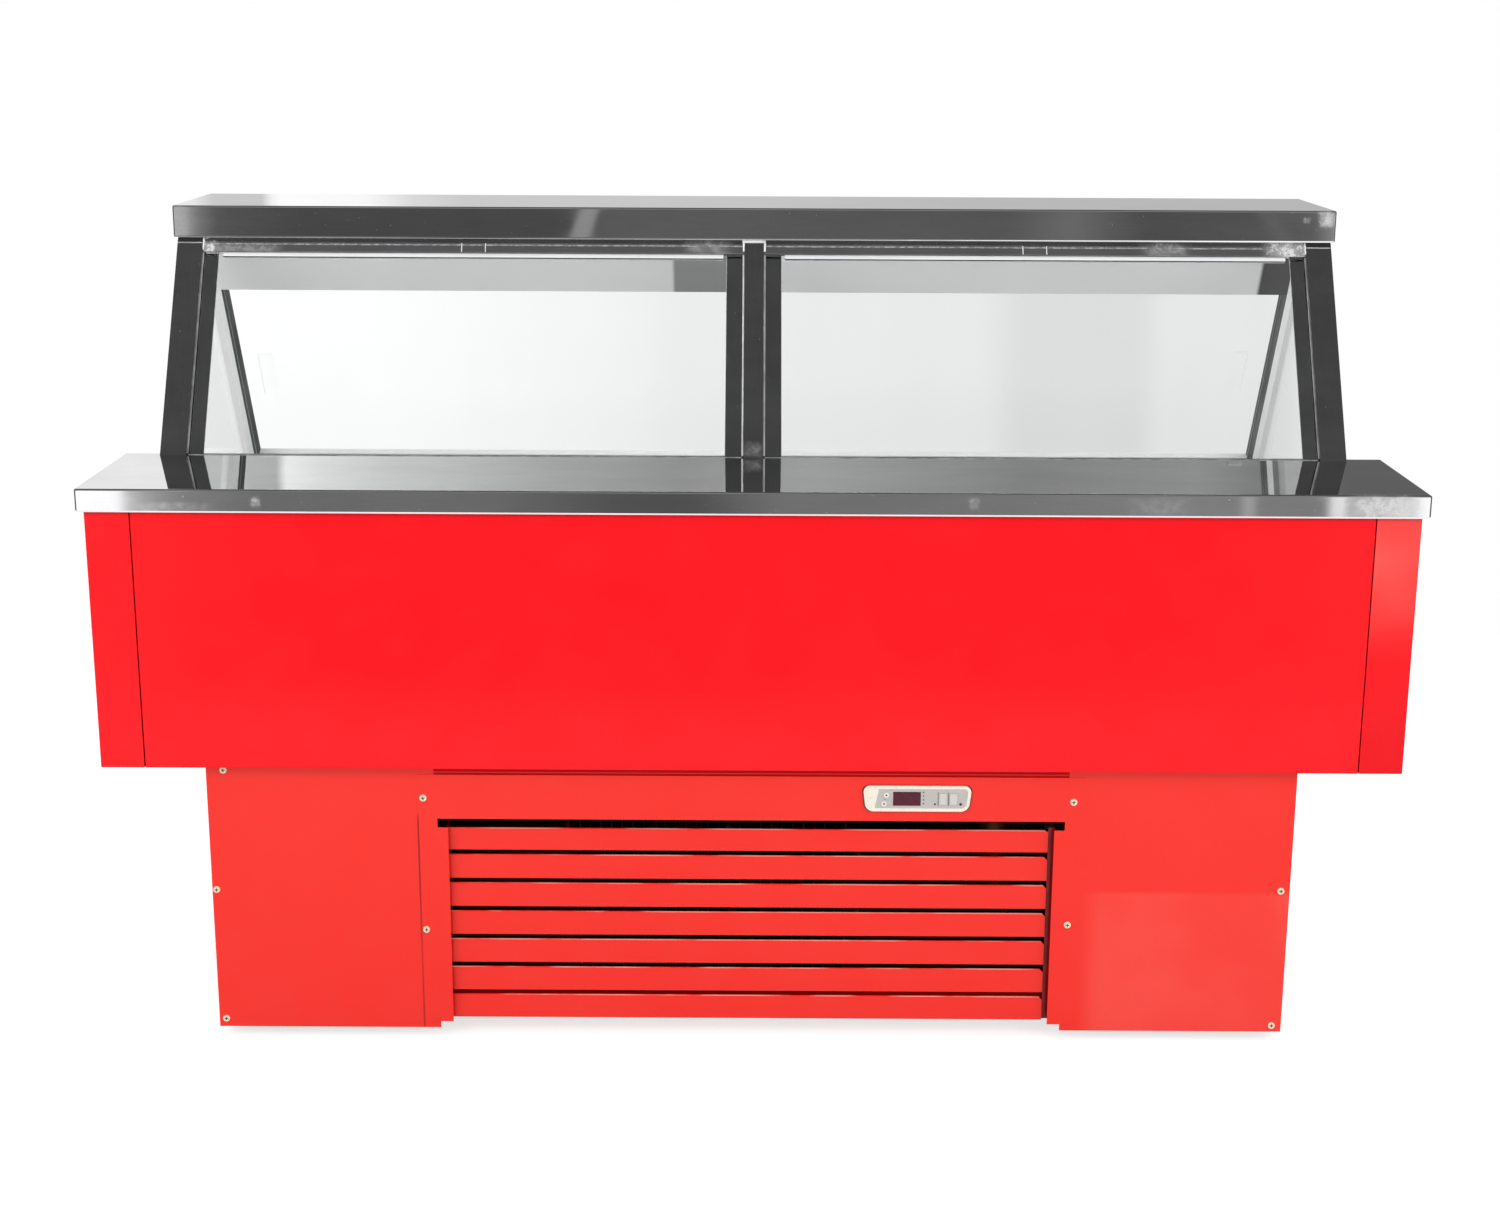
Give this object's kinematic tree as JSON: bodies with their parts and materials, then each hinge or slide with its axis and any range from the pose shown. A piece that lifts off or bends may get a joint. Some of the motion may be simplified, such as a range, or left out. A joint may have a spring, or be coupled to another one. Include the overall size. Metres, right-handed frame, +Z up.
{
  "type": "refrigerated meat display case",
  "caption": "Long floor-standing refrigerated serve-over case with a stainless ledge and canopy, sloping glazed front, sliding rear doors and a louvred machine base.",
  "frame": {"origin": "middle of the overall bounding box, on the floor under the feet", "axes": "+X along the case towards the controller end, -Y towards the customer, +Z up"},
  "size_m": [2, 1.05, 1.263],
  "materials": {
    "stainless": "bright cold-rolled stainless sheet",
    "red_body": "glossy red powder coat",
    "red_base": "satin red powder coat",
    "galvanised": "galvanised sheet",
    "foam": "rigid polyurethane foam",
    "aluminium": "mill finish",
    "clear_glass": "clear float glass",
    "clear_acrylic": "clear acrylic sheet",
    "black_rubber": "matte",
    "frame_paint": "red primer paint on square tube",
    "plated_screw": "yellow zinc plating",
    "controller_plastic": "light grey moulded plastic",
    "display_window": "dark tinted window",
    "button_plastic": "white moulded plastic",
    "key_plastic": "pale grey moulded plastic",
    "white_plastic": "white light fitting",
    "lamp_lens": "opal diffuser",
    "fan_plastic": "black moulded plastic",
    "grey_plastic": "grey plastic",
    "machine_black": "black enamel",
    "copper": "copper tube"
  },
  "bodies": {
    "case": {"counter_ledge": "stainless", "front_panel": "red_body", "end_panel_left": "red_body", "end_panel_right": "red_body", "rear_panel": "red_body", "ledge_ribs": "galvanised", "underside_panel": "galvanised", "tub_insulation": "foam", "tub_liner": "stainless", "end_coamings": "stainless", "rear_worktop": "stainless", "display_decks": "stainless", "deck_rails": "stainless", "evaporator": "aluminium", "evaporator_fan_plate": "galvanised", "drain_pipe": "grey_plastic", "front_post_left": "stainless", "front_post_right": "stainless", "mullion": "stainless", "front_glass_left": "clear_glass", "front_glass_right": "clear_glass", "glass_channels": "aluminium", "front_rails": "stainless", "canopy": "stainless", "canopy_soffit": "galvanised", "lamp_housing": "white_plastic", "lamp_diffuser": "lamp_lens", "rear_posts": "stainless", "rear_header": "stainless", "door_tracks": "aluminium", "end_glass": "clear_glass", "end_glass_gaskets": "black_rubber", "base_frame": "frame_paint", "feet": "black_rubber", "base_floor_tray": "galvanised", "base_left_panel": "red_base", "base_right_panel": "red_base", "base_end_panels": "red_base", "base_rear_panel": "red_base", "grille_panel": "red_base", "louvre_slats": "red_base", "louvre_rails": "red_base", "panel_screws": "plated_screw", "controller_body": "controller_plastic", "controller_display": "display_window", "condenser": "aluminium", "condenser_fan_motor": "machine_black", "compressor": "machine_black", "refrigerant_circuit": "copper", "electrical_box": "grey_plastic", "cable_gland": "grey_plastic"},
    "left_door": {"rear_door_left": "clear_acrylic"},
    "right_door": {"rear_door_right": "clear_acrylic"},
    "left_evaporator_fan": {"evaporator_fan_left": "fan_plastic"},
    "right_evaporator_fan": {"evaporator_fan_right": "fan_plastic"},
    "condenser_fan": {"condenser_fan": "fan_plastic"},
    "up_button": {"button_up": "button_plastic"},
    "down_button": {"button_down": "button_plastic"},
    "left_key": {"key_left": "key_plastic"},
    "right_key": {"key_right": "key_plastic"}
  },
  "joints": [
    {"name": "left_door_slide", "type": "slide", "parent": "case", "child": "left_door", "axis": [1, 0, 0], "range_m": [0, 0.86]},
    {"name": "right_door_slide", "type": "slide", "parent": "case", "child": "right_door", "axis": [1, 0, 0], "range_m": [-0.86, 0]},
    {"name": "left_evaporator_fan_spin", "type": "hinge", "parent": "case", "child": "left_evaporator_fan", "pos_m": [-0.32, -0.135, 0.5776], "axis": [0, 1, 0], "continuous": true},
    {"name": "right_evaporator_fan_spin", "type": "hinge", "parent": "case", "child": "right_evaporator_fan", "pos_m": [0.32, -0.135, 0.5776], "axis": [0, 1, 0], "continuous": true},
    {"name": "condenser_fan_spin", "type": "hinge", "parent": "case", "child": "condenser_fan", "pos_m": [-0.06, -0.315, 0.2225], "axis": [0, 1, 0], "continuous": true},
    {"name": "up_button_press", "type": "slide", "parent": "case", "child": "up_button", "axis": [0, 1, 0], "range_m": [0, 0.0008], "stiffness_N_per_m": 500},
    {"name": "down_button_press", "type": "slide", "parent": "case", "child": "down_button", "axis": [0, 1, 0], "range_m": [0, 0.0008], "stiffness_N_per_m": 500},
    {"name": "left_key_press", "type": "slide", "parent": "case", "child": "left_key", "axis": [0, 1, 0], "range_m": [0, 0.0008], "stiffness_N_per_m": 500},
    {"name": "right_key_press", "type": "slide", "parent": "case", "child": "right_key", "axis": [0, 1, 0], "range_m": [0, 0.0008], "stiffness_N_per_m": 500}
  ]
}
